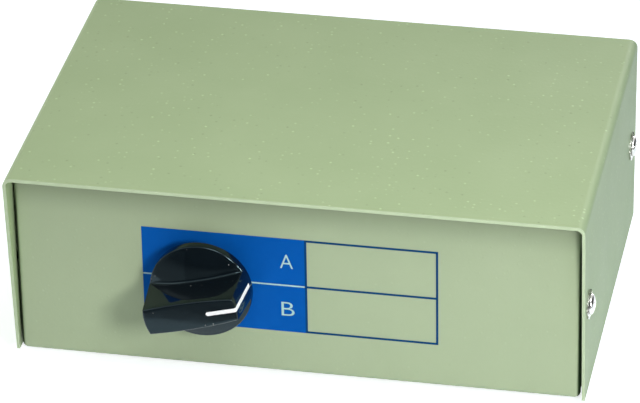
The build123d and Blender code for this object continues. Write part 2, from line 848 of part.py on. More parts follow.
def make_index_wheel():
    with BuildPart() as wheel:
        with BuildSketch(front_plane(wheel_y + wheel_thickness, axis_x, axis_z)):
            Circle(wheel_radius)
            with Locations(Pos(0, 0) * Rot(0, 0, rest_angle + stop_arm_lead)):
                Rectangle(stop_arm_reach, stop_arm_width, align=(Align.MIN, Align.CENTER))
            with PolarLocations(wheel_radius, notch_count):
                Circle(notch_radius, mode=Mode.SUBTRACT)
            Circle(wheel_spigot_radius + thread_clearance, mode=Mode.SUBTRACT)
        extrude(amount=wheel_thickness)
    keep("index_wheel", wheel.part)


def make_rotor():
    """Insulating rotor driven by the blade, with its ring-and-lobe contact."""
    with BuildPart() as rotor:
        with BuildSketch(front_plane(wafer_back_y, axis_x, axis_z, rest_angle)):
            Circle(rotor_radius)
            Rectangle(
                blade_width + 2 * thread_clearance,
                blade_thickness + 2 * thread_clearance,
                mode=Mode.SUBTRACT,
            )
        extrude(amount=wafer_thickness)
    keep("rotor_disc", rotor.part)
    with BuildPart() as contact:
        with BuildSketch(front_plane(wafer_back_y + contact_sheet, axis_x, axis_z, rest_angle)):
            Circle(ring_radius)
            Rectangle(lobe_radius, lobe_width, align=(Align.MIN, Align.CENTER))
            Circle(ring_bore_radius, mode=Mode.SUBTRACT)
        extrude(amount=contact_sheet)
    keep("rotor_contact", contact.part)


# ---------------------------------------------------------------- BNC jacks
def make_jacks():
    mouth_y = rear_y + jack_flange_thickness + barrel_length
    thread_end_y = rear_y - jack_thread_length
    for name, x in jack_points.items():
        axis = Axis((x, 0, jack_z), (0, 1, 0))
        half_section = Plane(origin=(x, 0, jack_z), x_dir=(1, 0, 0), z_dir=(0, 0, 1))
        with BuildPart() as shell:
            with BuildSketch(half_section):
                with BuildLine():
                    Polyline(
                        (0, thread_end_y),
                        (jack_thread_radius, thread_end_y),
                        (jack_thread_radius, rear_y),
                        (jack_flange_radius, rear_y),
                        (jack_flange_radius, rear_y + jack_flange_thickness),
                        (barrel_radius, rear_y + jack_flange_thickness),
                        (barrel_radius, mouth_y - mouth_chamfer),
                        (barrel_radius - mouth_chamfer, mouth_y),
                        (0, mouth_y),
                        close=True,
                    )
                make_face()
            revolve(axis=axis)
            with Locations((x, mouth_y - lug_from_mouth, jack_z)):
                Cylinder(lug_pin_radius, lug_across, rotation=(0, 90, 0))
            with BuildSketch(front_plane(mouth_y, x, jack_z)):
                Circle(barrel_bore)
            extrude(amount=socket_depth, mode=Mode.SUBTRACT)
            with BuildSketch(front_plane(mouth_y, x, jack_z)):
                Circle(dielectric_radius)
            extrude(amount=mouth_y - thread_end_y, mode=Mode.SUBTRACT)
            with BuildSketch(front_plane(rear_y, x, jack_z)):
                with Locations((0, -jack_flat)):
                    Rectangle(
                        2 * jack_thread_radius, jack_thread_radius, align=(Align.CENTER, Align.MAX)
                    )
            extrude(amount=jack_thread_length, mode=Mode.SUBTRACT)
        keep(f"jack_{name}_shell", shell.part)

        front_y = mouth_y - dielectric_setback
        collar_end_y = thread_end_y - collar_length
        with BuildPart() as insulator:
            with BuildSketch(front_plane(front_y, x, jack_z)):
                Circle(dielectric_radius)
            extrude(amount=front_y - collar_end_y)
            with BuildSketch(front_plane(thread_end_y, x, jack_z)):
                Circle(collar_radius)
            extrude(amount=collar_length)
            with BuildSketch(front_plane(front_y, x, jack_z)):
                Circle(contact_radius)
            extrude(amount=front_y - collar_end_y, mode=Mode.SUBTRACT)
        keep(f"jack_{name}_insulator", insulator.part)

        with BuildPart() as contact:
            with BuildSketch(front_plane(front_y, x, jack_z)):
                Circle(contact_radius)
            extrude(amount=front_y - cup_end_y)
            with BuildSketch(front_plane(front_y, x, jack_z)):
                Circle(contact_bore)
            extrude(amount=contact_bore_depth, mode=Mode.SUBTRACT)
            with BuildSketch(front_plane(cup_end_y, x, jack_z)):
                Circle(core_radius + thread_clearance)
            extrude(amount=-cup_depth, mode=Mode.SUBTRACT)
            with Locations((x, cup_end_y, jack_z)):
                Box(
                    2 * contact_radius,
                    cup_depth,
                    contact_radius,
                    align=(Align.CENTER, Align.MIN, Align.MIN),
                    mode=Mode.SUBTRACT,
                )
        keep(f"jack_{name}_contact", contact.part)


def make_jack_hardware():
    """Ground tag, toothed washer and nut behind the rear panel, one set for each jack."""
    washer_y = rear_inside_y - tag_thickness
    nut_y = washer_y - jack_washer_thickness
    hole = jack_thread_radius + hole_clearance
    with BuildPart() as tags:
        for x in jack_points.values():
            with BuildSketch(front_plane(rear_inside_y, x, jack_z)):
                Circle(tag_radius)
                Rectangle(tag_arm_width, tag_arm_reach, align=(Align.CENTER, Align.MIN))
                with Locations((0, tag_arm_reach)):
                    Circle(tag_arm_width / 2)
                    Circle(tag_eye_radius, mode=Mode.SUBTRACT)
                Circle(hole, mode=Mode.SUBTRACT)
            extrude(amount=tag_thickness)
    keep("jack_ground_tags", tags.part)
    with BuildPart() as washers:
        for x in jack_points.values():
            with BuildSketch(front_plane(washer_y, x, jack_z)):
                Circle(jack_washer_radius)
                with PolarLocations(jack_washer_radius, washer_notches):
                    Circle(washer_notch_radius, mode=Mode.SUBTRACT)
                Circle(hole, mode=Mode.SUBTRACT)
            extrude(amount=jack_washer_thickness)
    keep("jack_lock_washers", washers.part)
    with BuildPart() as nuts:
        for x in jack_points.values():
            with BuildSketch(front_plane(nut_y, x, jack_z)):
                RegularPolygon(jack_nut_across_flats / 2, 6, major_radius=False)
                Circle(jack_thread_radius + thread_clearance, mode=Mode.SUBTRACT)
            extrude(amount=jack_nut_thickness)
    keep("jack_nuts", nuts.part)


# ---------------------------------------------------------------- coaxial leads
def fillet_radii(points):
    """Arc radius at each inner point: 0.45 of the shorter run over the tangent of half the turn."""
    radii = []
    for before, here, after in zip(points, points[1:], points[2:]):
        run_in = here - before
        run_out = after - here
        half_turn = radians(run_in.get_angle(run_out)) / 2
        radii.append(run_share * min(run_in.length, run_out.length) / tan(half_turn))
    return radii


def make_leads():
    """Miniature coax from each jack's solder cup to its switch terminal, with bare ends."""
    for name, x in jack_points.items():
        angle = terminal_angles[name]
        tag_x, tag_z = polar(terminal_reach - wire_inset, angle)
        start = Vector(x, cup_end_y - core_bare, jack_z)
        end = Vector(axis_x + tag_x, wafer_back_y + contact_sheet + core_bare, axis_z + tag_z)
        reach = Vector(0, (start.Y - end.Y) * lead_straight_share, 0)
        sag, drift = lead_slack[name]
        middle = (start + end) * 0.5 + Vector(drift, 0, sag)
        points = [start, start - reach, middle, end + reach, end]
        radii = fillet_radii(points)
        with BuildPart() as jacket:
            with BuildLine() as path:
                FilletPolyline(*points, radius=radii)
            with BuildSketch(front_plane(start.Y, start.X, start.Z)):
                Circle(lead_radius)
            sweep(path=path.wires()[0])
        keep(f"lead_{name}_jacket", jacket.part)
        print(name, "lead radii", [round(radius, 1) for radius in radii])
        expected = path.wires()[0].length * pi * lead_radius**2
        print("  volume ratio", round(jacket.part.volume / expected, 4))
        with BuildPart() as core:
            with BuildSketch(front_plane(cup_end_y + cup_depth, x, jack_z)):
                Circle(core_radius)
            extrude(amount=cup_depth + core_bare)
            with BuildSketch(front_plane(end.Y, end.X, end.Z)):
                Circle(core_radius)
            extrude(amount=core_bare)
        keep(f"lead_{name}_core", core.part)


make_cover()
make_chassis()
make_feet()
make_cover_screws()
make_knob()
make_knob_fittings()
make_front_plate()
make_mounting_hardware()
make_detent()
make_stop_pins()
make_wafer()
make_terminals()
make_shaft()
make_index_wheel()
make_rotor()
make_jacks()
make_jack_hardware()
make_leads()

os.makedirs("parts", exist_ok=True)
for name, part in parts.items():
    export_step(part, f"parts/{name}.step")
print(len(parts), "nodes", sum(len(part.solids()) for part in parts.values()), "solids")
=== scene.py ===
# %% [markdown]
# # A coaxial A/B switch box, dressed in Blender
# The box is a folded steel cover over a folded steel chassis, a rotary switch with a black knob,
# three round jacks at the back and a printed legend on the front panel.
# The CAD model is loaded first and never moved. Every finish and every extra piece below is laid
# on that fixed frame, in metres, so a piece goes where the CAD says and needs no fitting.

# %% Load the frame
import json
from math import asin, cos, pi, radians, sin

import bpy
from mathutils import Matrix, Vector


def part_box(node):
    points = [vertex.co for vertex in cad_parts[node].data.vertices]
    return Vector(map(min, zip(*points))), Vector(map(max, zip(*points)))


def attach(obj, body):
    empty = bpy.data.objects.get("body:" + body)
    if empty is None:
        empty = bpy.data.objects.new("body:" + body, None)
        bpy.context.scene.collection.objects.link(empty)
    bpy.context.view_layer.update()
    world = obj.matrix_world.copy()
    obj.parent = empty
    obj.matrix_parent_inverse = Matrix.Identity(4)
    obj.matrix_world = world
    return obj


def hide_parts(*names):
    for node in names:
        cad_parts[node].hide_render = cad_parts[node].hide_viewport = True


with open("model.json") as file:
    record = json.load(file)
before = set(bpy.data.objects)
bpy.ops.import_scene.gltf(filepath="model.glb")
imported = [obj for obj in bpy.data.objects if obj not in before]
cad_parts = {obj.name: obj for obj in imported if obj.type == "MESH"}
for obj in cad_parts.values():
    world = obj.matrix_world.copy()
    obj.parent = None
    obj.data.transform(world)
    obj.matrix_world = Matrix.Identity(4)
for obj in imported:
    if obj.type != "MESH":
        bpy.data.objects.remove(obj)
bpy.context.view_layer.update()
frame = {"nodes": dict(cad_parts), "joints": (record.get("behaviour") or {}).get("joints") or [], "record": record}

bpy.ops.object.select_all(action="DESELECT")

# %% [markdown]
# ## Places that everything else is measured from
# The panel, the case and the selector's axis are read from the CAD nodes and the joint, so that
# the dressing follows if the case is ever built at another size.

# %% Read the places
MM = 0.001  # a millimetre, in metres
panel_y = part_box("chassis")[0].y
case_low, case_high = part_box("cover")
axis = Vector(frame["joints"][0]["pos_m"])
print("panel at y =", round(panel_y / MM, 2), "mm")
print("selector axis at", [round(c / MM, 2) for c in axis], "mm")

# %% [markdown]
# ## Camera
# A long lens more than a metre away keeps the upright edges of so small a box nearly parallel. The
# camera is turned about Z, tipped down and rolled about its line of sight, and one matrix product
# says all three. It could aim at an empty with a constraint, but its roll would need a second one.

# %% Camera
camera_place = Vector((0.195339, -0.964054, 0.607018))
turned_right, tipped_down, rolled = 11.586, 30.423, -1.032  # degrees
bpy.ops.object.camera_add()
camera = bpy.context.active_object
camera.name = "camera"
camera.data.sensor_width = 36
camera.data.lens = 242.45
camera.matrix_world = (
    Matrix.Translation(camera_place)
    @ Matrix.Rotation(radians(turned_right), 4, "Z")
    @ Matrix.Rotation(radians(90 - tipped_down), 4, "X")
    @ Matrix.Rotation(radians(rolled), 4, "Z")
)
camera.data.clip_start = 0.05
camera.data.clip_end = 30
bpy.context.scene.camera = camera
bpy.context.scene.view_settings.view_transform = "Standard"
print("camera", round(camera_place.length, 2), "m from the middle of the box's floor")

# %% [markdown]
# ## Shader helpers
# Every finish is a Principled BSDF with a few nodes round it. They could be added by hand in the
# Shader Editor, but a few small functions keep the cells below short and all finishes alike.

# %% Helpers for nodes
def add_node(tree, kind, **settings):
    """Add a node to the tree and set its properties."""
    node = tree.nodes.new(kind)
    for name, value in settings.items():
        setattr(node, name, value)
    return node


def wire(tree, *route):
    """Connect each (from socket, to socket) pair in turn."""
    for source, target in route:
        tree.links.new(source, target)


def start_material(name, colour, roughness=0.5, metallic=0.0, specular=0.5):
    """A new material: its tree, its Principled BSDF and the Object coordinates."""
    material = bpy.data.materials.new(name)
    material.use_nodes = True
    tree = material.node_tree
    shader = tree.nodes["Principled BSDF"]
    shader.inputs["Base Color"].default_value = (*colour, 1)
    shader.inputs["Roughness"].default_value = roughness
    shader.inputs["Metallic"].default_value = metallic
    shader.inputs["Specular IOR Level"].default_value = specular
    place = add_node(tree, "ShaderNodeTexCoord").outputs["Object"]
    return material, tree, shader, place


def feed(tree, shader, colour, roughness=None):
    """Connect a colour, and a roughness if it drifts too, to the shader."""
    tree.links.new(colour, shader.inputs["Base Color"])
    if roughness is not None:
        tree.links.new(roughness, shader.inputs["Roughness"])


def start_group(name, inputs, outputs):
    """A new node group with named inputs and outputs; a default of None makes a vector input."""
    group = bpy.data.node_groups.new(name, "ShaderNodeTree")
    for label, value in inputs.items():
        kind = "NodeSocketVector" if value is None else "NodeSocketFloat"
        socket = group.interface.new_socket(label, in_out="INPUT", socket_type=kind)
        if value is not None:
            socket.default_value = value
    for label in outputs:
        group.interface.new_socket(label, in_out="OUTPUT", socket_type="NodeSocketFloat")
    return group, add_node(group, "NodeGroupInput"), add_node(group, "NodeGroupOutput")


def use_group(tree, group, place, **values):
    """Place a node group in a material, give it the coordinates and set its own values."""
    node = add_node(tree, "ShaderNodeGroup", node_tree=group)
    tree.links.new(place, node.inputs["Vector"])
    for label, value in values.items():
        node.inputs[label].default_value = value
    return node


def set_range(node, side, low, high):
    """Set the From side or the To side of a Map Range node."""
    node.inputs[side + " Min"].default_value = low
    node.inputs[side + " Max"].default_value = high


def repeats(tree, size):
    """How many times a size in metres fits in one metre, which is the Scale of a texture."""
    scale = add_node(tree, "ShaderNodeMath", operation="DIVIDE")
    scale.inputs[0].default_value = 1.0
    tree.links.new(size, scale.inputs[1])
    return scale.outputs[0]


# %% [markdown]
# ## Shared surface effects
# Real finishes are never one flat value. Four node groups give what repeats on many pieces: a fine
# grain, wide soft patches from handling, a scatter of small specks, and the circular tool marks of
# turned metal. Pictures could carry them too, but a group costs no file and takes its size in
# metres, so that it keeps its true scale on any piece.

# %% Group: fine grain
grain, into, out = start_group("fine_grain", {"Vector": None, "Size": 0.0005}, ["Height"])
noise = add_node(grain, "ShaderNodeTexNoise")
noise.inputs["Detail"].default_value = 3.0
wire(
    grain,
    (into.outputs["Vector"], noise.inputs["Vector"]),
    (repeats(grain, into.outputs["Size"]), noise.inputs["Scale"]),
    (noise.outputs["Fac"], out.inputs["Height"]),
)

# %% Group: patches between a low and a high value
patches, into, out = start_group(
    "soft_patches", {"Vector": None, "Size": 0.02, "Low": 0.3, "High": 0.5}, ["Value"]
)
noise = add_node(patches, "ShaderNodeTexNoise")
noise.inputs["Detail"].default_value = 4.0
noise.inputs["Roughness"].default_value = 0.6
spread = add_node(patches, "ShaderNodeMapRange")
set_range(spread, "From", 0.3, 0.7)
wire(
    patches,
    (into.outputs["Vector"], noise.inputs["Vector"]),
    (repeats(patches, into.outputs["Size"]), noise.inputs["Scale"]),
    (noise.outputs["Fac"], spread.inputs["Value"]),
    (into.outputs["Low"], spread.inputs["To Min"]),
    (into.outputs["High"], spread.inputs["To Max"]),
    (spread.outputs["Result"], out.inputs["Value"]),
)

# %% Group: scattered specks, each with a chance of its own from 0 to 1
specks, into, out = start_group(
    "scattered_specks", {"Vector": None, "Spacing": 0.005, "Radius": 0.0002}, ["Mask", "Chance"]
)
cells = add_node(specks, "ShaderNodeTexVoronoi")
reach = add_node(specks, "ShaderNodeMath", operation="DIVIDE")
near = add_node(specks, "ShaderNodeMapRange", interpolation_type="SMOOTHSTEP")
set_range(near, "To", 1.0, 0.0)
split = add_node(specks, "ShaderNodeSeparateColor")
wire(
    specks,
    (cells.outputs["Color"], split.inputs["Color"]),
    (split.outputs["Red"], out.inputs["Chance"]),
    (into.outputs["Vector"], cells.inputs["Vector"]),
    (repeats(specks, into.outputs["Spacing"]), cells.inputs["Scale"]),
    (into.outputs["Radius"], reach.inputs[0]),
    (into.outputs["Spacing"], reach.inputs[1]),
    (cells.outputs["Distance"], near.inputs["Value"]),
    (reach.outputs[0], near.inputs["From Max"]),
    (near.outputs["Result"], out.inputs["Mask"]),
)

# %% Group: tool marks along the depth of a turned piece
turned, into, out = start_group("turned_marks", {"Vector": None, "Pitch": 0.0002}, ["Height"])
split = add_node(turned, "ShaderNodeSeparateXYZ")
scale = add_node(turned, "ShaderNodeMath", operation="DIVIDE")
along = add_node(turned, "ShaderNodeCombineXYZ")
noise = add_node(turned, "ShaderNodeTexNoise")
noise.inputs["Scale"].default_value = 1.0
noise.inputs["Detail"].default_value = 2.0
wire(
    turned,
    (into.outputs["Vector"], split.inputs[0]),
    (split.outputs["Y"], scale.inputs[0]),
    (into.outputs["Pitch"], scale.inputs[1]),
    (scale.outputs[0], along.inputs["Y"]),
    (along.outputs[0], noise.inputs["Vector"]),
    (noise.outputs["Fac"], out.inputs["Height"]),
)
print("node groups:", [group.name for group in (grain, patches, specks, turned)])

# %% [markdown]
# ## Relief and mixing
# A Bump node turns a height between 0 and 1 into a normal. Its Distance is the real depth of the
# relief, so a powder coat gets a few hundredths of a millimetre and polished metal far less. Real
# displacement would need a far finer mesh to show anything so shallow.

# %% Helpers for relief and colour
def add_relief(tree, shader, height, depth, below=None):
    """Bump the shader's normal by a height that is depth metres deep, over another relief."""
    bump = add_node(tree, "ShaderNodeBump")
    bump.inputs["Distance"].default_value = depth
    tree.links.new(height, bump.inputs["Height"])
    if below is not None:
        tree.links.new(below.outputs["Normal"], bump.inputs["Normal"])
    tree.links.new(bump.outputs["Normal"], shader.inputs["Normal"])
    return bump


def blend_colours(tree, factor, first, second):
    """A Mix node between two colours; either may be a plain colour or another node's output."""
    mix = add_node(tree, "ShaderNodeMix", data_type="RGBA")
    tree.links.new(factor, mix.inputs["Factor"])
    # A Mix node has sockets for numbers and vectors too; those for colours are these, by place.
    first_socket, second_socket, result = mix.inputs[6], mix.inputs[7], mix.outputs[2]
    for socket, colour in ((first_socket, first), (second_socket, second)):
        if isinstance(colour, tuple):
            socket.default_value = (*colour, 1)
        else:
            tree.links.new(colour, socket)
    return result


def drift_tone(tree, place, size, first, second, most=1.0):
    """A colour that drifts in soft patches, from the first to the most it gets of the second."""
    drift = use_group(tree, patches, place, Size=size, Low=0.0, High=most)
    return blend_colours(tree, drift.outputs["Value"], first, second)


def add_grain(tree, shader, place, size, depth):
    """A fine grain as the shader's relief."""
    bumps = use_group(tree, grain, place, Size=size)
    return add_relief(tree, shader, bumps.outputs["Height"], depth)


finishes = {}


def keep_finish(slot, material):
    """Keep a finish under the name of the record's material slot that it is for."""
    finishes[slot] = material
    print(slot, "finish:", len(material.node_tree.nodes), "nodes")


# %% [markdown]
# ## Case paint
# The case is powder coated in a sage green: a baked polymer film with a soft satin sheen, a fine
# orange peel, and pale and dark grains that melted last. A plain noise bump gives the peel, patches
# give the sheen that drifts over a wide panel, and the specks carry the grains.
# Light and shade are painted into the coat in three places: a painted highlight along the cover's
# cut front edges, painted shade of the deep gap on the panel's side bends, and a painted shadow of
# the cover's lip across the top of the panel. Those places could be faces with a material of their
# own, but a CAD mesh has no such faces, so the shader measures how far a point lies in a direction
# instead.

# %% Case paint
edge_shading_width = 0.6 * MM  # over which the painted edge shading fades in
lip_shade_share = 0.62  # of the paint's lightness, in the painted shadow under the cover's lip
peel_depth = 0.03 * MM


def make_paint(name, colour, darker, grain_shares, direction, start, edge_shading_colour, lip_shade=None):
    """Satin powder coat: a drifting tone, pale and dark grains, and a fine orange peel.

    Past start metres in the direction, on both sides of the middle, it takes the edge shading
    colour: a painted highlight on the cover, painted shade on the panel. With lip_shade, two heights,
    it also darkens from the lower one to the upper one, a painted shadow of the cover's lip.
    """
    paint, tree, shader, place = start_material(name, colour, specular=0.25)
    grains = use_group(tree, specks, place, Spacing=0.0021, Radius=0.00052)
    coat = drift_tone(tree, place, 0.03, darker, colour)
    pale, dark = (tuple(c * share for c in colour) for share in grain_shares)
    grain_tone = blend_colours(tree, grains.outputs["Chance"], dark, pale)
    coat = blend_colours(tree, grains.outputs["Mask"], coat, grain_tone)
    split = add_node(tree, "ShaderNodeSeparateXYZ")
    outward = add_node(tree, "ShaderNodeMath", operation="ABSOLUTE")
    mirrored = add_node(tree, "ShaderNodeCombineXYZ")
    reach = add_node(tree, "ShaderNodeVectorMath", operation="DOT_PRODUCT")
    reach.inputs[1].default_value = direction
    edge_shading_mask = add_node(tree, "ShaderNodeMapRange", interpolation_type="SMOOTHSTEP")
    set_range(edge_shading_mask, "From", start, start + edge_shading_width)
    wire(
        tree,
        (place, split.inputs[0]),
        (split.outputs["X"], outward.inputs[0]),
        (outward.outputs[0], mirrored.inputs["X"]),
        (split.outputs["Y"], mirrored.inputs["Y"]),
        (split.outputs["Z"], mirrored.inputs["Z"]),
        (mirrored.outputs[0], reach.inputs[0]),
        (reach.outputs["Value"], edge_shading_mask.inputs["Value"]),
    )
    # painted light along the edges: a highlight on the cover, shade on the panel
    coat = blend_colours(tree, edge_shading_mask.outputs["Result"], coat, edge_shading_colour)
    # painted shadow of the cover's lip, darkening towards the top of the panel
    if lip_shade:
        lip_shade_mask = add_node(tree, "ShaderNodeMapRange", interpolation_type="SMOOTHSTEP")
        set_range(lip_shade_mask, "From", *lip_shade)
        tree.links.new(split.outputs["Z"], lip_shade_mask.inputs["Value"])
        lip_shade_colour = tuple(lip_shade_share * c for c in colour)
        coat = blend_colours(tree, lip_shade_mask.outputs["Result"], coat, lip_shade_colour)
    sheen = use_group(tree, patches, place, Size=0.02, Low=0.48, High=0.56)
    feed(tree, shader, coat, sheen.outputs["Value"])
    peel = add_grain(tree, shader, place, 0.0011, peel_depth)
    add_relief(tree, shader, grains.outputs["Mask"], peel_depth, peel)
    return paint


# %% Paint of the cover, with a painted highlight along its cut front edges
edge_lean = 0.091  # how far those edges fall back for each metre down
lean_top = case_high.z - 2.5 * MM  # where they start to fall back, below the bend
highlight_depth = 0.8 * MM  # how far in from the edge the painted highlight reaches
cover_paint = make_paint(
    "cover_paint",
    colour=(0.384, 0.49, 0.272),
    darker=(0.358, 0.464, 0.251),
    grain_shares=(1.45, 0.7),
    direction=(0, -1, -edge_lean),
    start=-case_low.y - edge_lean * lean_top - highlight_depth,
    # painted highlight: the cut front edges catching the light
    edge_shading_colour=(0.50, 0.60, 0.39),
)
keep_finish("case_paint", cover_paint)

# %% Paint of the front panel, with painted shade on its side bends and under the cover's lip
gap_shade_inset = 2.3 * MM  # from the cover's side to where the painted shade of the gap beside the panel begins
# heights of the painted shadow that the cover's lip casts on the panel
lip_shade_low, lip_shade_high = case_high.z - 12 * MM, case_high.z - 2 * MM
panel_paint = make_paint(
    "panel_paint",
    # a paler, cooler copy of the cover's paint: painted reflection of the pale floor before the front
    colour=(0.404, 0.482, 0.305),
    darker=(0.384, 0.462, 0.290),
    grain_shares=(1.05, 0.96),
    direction=(1, 0, 0),
    start=case_high.x - gap_shade_inset,
    # painted shade: the deep gap between the panel and the cover
    edge_shading_colour=(0.012, 0.03, 0.01),
    lip_shade=(lip_shade_low, lip_shade_high),
)
print(panel_paint.name, "for the chassis")

# %% [markdown]
# ## Rubber feet
# The push-in feet are black rubber, moulded in a lightly blasted tool. Rubber has next to no gloss
# and picks up pale dust on top of its grain.

# %% Rubber
rubber, tree, shader, place = start_material(
    "foot_rubber", (0.022, 0.022, 0.023), 0.75, specular=0.3
)
dusty = drift_tone(tree, place, 0.004, (0.02, 0.02, 0.021), (0.06, 0.06, 0.058), 0.35)
feed(tree, shader, dusty)
add_grain(tree, shader, place, 0.0003, 0.00004)
keep_finish("rubber", rubber)

# %% [markdown]
# ## Metals
# The metals differ in colour, in gloss and in the marks of how they were made. Turned pieces show
# rings along their depth, plated sheet shows a fine grain, and all of them have soft patches where
# fingers have been. Eight materials could be built by hand, but as they differ only in numbers,
# one function makes the metal and a table gives each its own values.

# %% Metals
def make_metal(name, colour, darker, gloss, marks, mark_size, mark_depth):
    """A metal whose colour and roughness drift, with turned rings or a fine grain as its relief."""
    metal, tree, shader, place = start_material(name, colour, metallic=1.0)
    tarnished = drift_tone(tree, place, 0.003, colour, darker)
    smear = use_group(tree, patches, place, Size=0.0016, Low=gloss[0], High=gloss[1])
    feed(tree, shader, tarnished, smear.outputs["Value"])
    if marks == "rings":
        rings = use_group(tree, turned, place, Pitch=mark_size)
        add_relief(tree, shader, rings.outputs["Height"], mark_depth)
    else:
        add_grain(tree, shader, place, mark_size, mark_depth)
    return metal


# Each row: colour, darker tone, roughness range, kind of marks, and their size and depth in metres.
metal_table = {
    "bright_nickel": ((0.78, 0.78, 0.76), (0.60, 0.60, 0.58), (0.1, 0.2), "rings", 0.0003, 2e-6),
    "brass": ((0.80, 0.62, 0.32), (0.66, 0.48, 0.22), (0.2, 0.34), "rings", 0.0002, 3e-6),
    "blackened_steel": (
        (0.07, 0.07, 0.075), (0.04, 0.04, 0.043), (0.35, 0.5), "grain", 0.0002, 4e-6
    ),
    "plated_steel": ((0.72, 0.72, 0.70), (0.58, 0.59, 0.57), (0.2, 0.36), "grain", 0.0004, 3e-6),
    "spring_steel": ((0.44, 0.45, 0.48), (0.33, 0.34, 0.37), (0.24, 0.36), "grain", 0.0003, 2e-6),
    "silver_plate": ((0.88, 0.87, 0.83), (0.70, 0.66, 0.56), (0.16, 0.3), "grain", 0.0003, 2e-6),
    "gold_plate": ((0.94, 0.72, 0.33), (0.86, 0.62, 0.25), (0.12, 0.2), "rings", 0.0002, 2e-6),
    "tinned_copper": ((0.76, 0.75, 0.73), (0.62, 0.61, 0.58), (0.2, 0.4), "grain", 0.0006, 8e-6),
}
for slot, values in metal_table.items():
    keep_finish(slot, make_metal(slot + "_finish", *values))

# %% [markdown]
# ## Knob plastic and its white line
# The knob is a glossy black thermoset. Almost all that is seen of it is reflection, so its gloss
# has to be nearly clean, with a few grains of dust and a very faint waviness from the mould. The
# specular tint is a painted cool cast on those reflections.
# The line is white paint wiped into a groove, a little rough and not quite even.

# %% Knob plastic
plastic, tree, shader, place = start_material("knob_plastic", (0.002, 0.004, 0.006), specular=0.42)
smear = use_group(tree, patches, place, Size=0.006, Low=0.06, High=0.1)
dust = use_group(tree, specks, place, Spacing=0.0027, Radius=0.00018)
tone = blend_colours(tree, dust.outputs["Mask"], (0.002, 0.004, 0.006), (0.5, 0.5, 0.48))
feed(tree, shader, tone, smear.outputs["Value"])
# painted cool cast in the knob's reflections
shader.inputs["Specular Tint"].default_value = (0.6, 0.9, 1.0, 1)
add_grain(tree, shader, place, 0.004, 0.00002)
keep_finish("knob_plastic", plastic)

# %% White paint
white, tree, shader, place = start_material("line_paint", (0.95, 0.95, 0.94), 0.5)
feed(tree, shader, drift_tone(tree, place, 0.0009, (0.96, 0.96, 0.95), (0.86, 0.86, 0.84), 0.6))
add_grain(tree, shader, place, 0.0003, 0.00002)
keep_finish("white_paint", white)

# %% [markdown]
# ## Insulators and leads
# The wafer is paper laminate, brown and slightly fibrous. The jacks' cores are a white turned
# fluoropolymer that lets light a little way in. The leads have an extruded black vinyl jacket.
# None of them needs more than a drifting tone and a shallow relief; the laminate's patches are
# stretched by a Mapping node, because its fibres run one way.

# %% Wafer laminate
laminate, tree, shader, place = start_material("wafer_laminate", (0.30, 0.15, 0.065), 0.45)
stretch = add_node(tree, "ShaderNodeMapping")
stretch.inputs["Scale"].default_value = (1.0, 1.0, 0.15)
tree.links.new(place, stretch.inputs["Vector"])
fibre = use_group(tree, patches, stretch.outputs["Vector"], Size=0.0006, Low=0.0, High=1.0)
tone = blend_colours(tree, fibre.outputs["Value"], (0.34, 0.17, 0.075), (0.24, 0.11, 0.045))
feed(tree, shader, tone)
add_relief(tree, shader, fibre.outputs["Value"], 0.00001)
keep_finish("wafer_laminate", laminate)

# %% White dielectric
dielectric, tree, shader, place = start_material("white_dielectric", (0.86, 0.86, 0.83), 0.4)
rings = use_group(tree, turned, place, Pitch=0.00015)
feed(tree, shader, drift_tone(tree, place, 0.002, (0.88, 0.88, 0.86), (0.80, 0.79, 0.75)))
shader.inputs["Subsurface Weight"].default_value = 0.2
shader.inputs["Subsurface Radius"].default_value = (0.001, 0.001, 0.001)
shader.inputs["Subsurface Scale"].default_value = 1.0
add_relief(tree, shader, rings.outputs["Height"], 0.000005)
keep_finish("white_dielectric", dielectric)

# %% Lead jacket
jacket, tree, shader, place = start_material("lead_jacket", (0.018, 0.018, 0.019))
smear = use_group(tree, patches, place, Size=0.003, Low=0.38, High=0.55)
skin = use_group(tree, grain, place, Size=0.0005)
tone = blend_colours(tree, skin.outputs["Height"], (0.014, 0.014, 0.015), (0.03, 0.03, 0.031))
feed(tree, shader, tone, smear.outputs["Value"])
add_relief(tree, shader, skin.outputs["Height"], 0.00002)
keep_finish("lead_jacket", jacket)

# %% [markdown]
# ## Dress the CAD nodes
# The imported record says which slot each node takes its finish from, so one loop dresses all of
# them and no node is left plain. Only the chassis differs: it takes the front panel's paint, with
# its painted shade and a paler, cooler tone that stands in for the floor's reflection.

# %% Dress the CAD nodes
slots = {part["node"]: part["material_slot"] for part in frame["record"]["subparts"]}
for node, slot in slots.items():
    mesh = frame["nodes"][node].data
    mesh.materials.clear()
    mesh.materials.append(panel_paint if node == "chassis" else finishes[slot])
print(len(slots), "nodes in", len(set(slots.values())), "finishes")

# %% [markdown]
# ## Helpers for modelled pieces
# The pieces that the CAD model lacks, or shows too plainly, are modelled with the operators that
# the menus call. Each acts on what is selected, so the helpers select first. A finished piece has
# its place in its mesh, as a CAD node has, and rides on a body by name.

# %% Helpers for modelled pieces
def activate(piece):
    """Make this piece the only selected object."""
    bpy.ops.object.select_all(action="DESELECT")
    piece.select_set(True)
    bpy.context.view_layer.objects.active = piece


def settle(piece):
    """Put the piece's place, turn and size into its mesh."""
    activate(piece)
    bpy.ops.object.transform_apply(location=True, rotation=True, scale=True)


def finish_piece(piece, name, body, material):
    """Name a finished piece, give it its finish and let it ride on its body."""
    settle(piece)
    piece.name = name
    piece.data.name = name
    piece.data.materials.clear()
    piece.data.materials.append(material)
    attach(piece, body)
    print(name, len(piece.data.polygons), "faces")


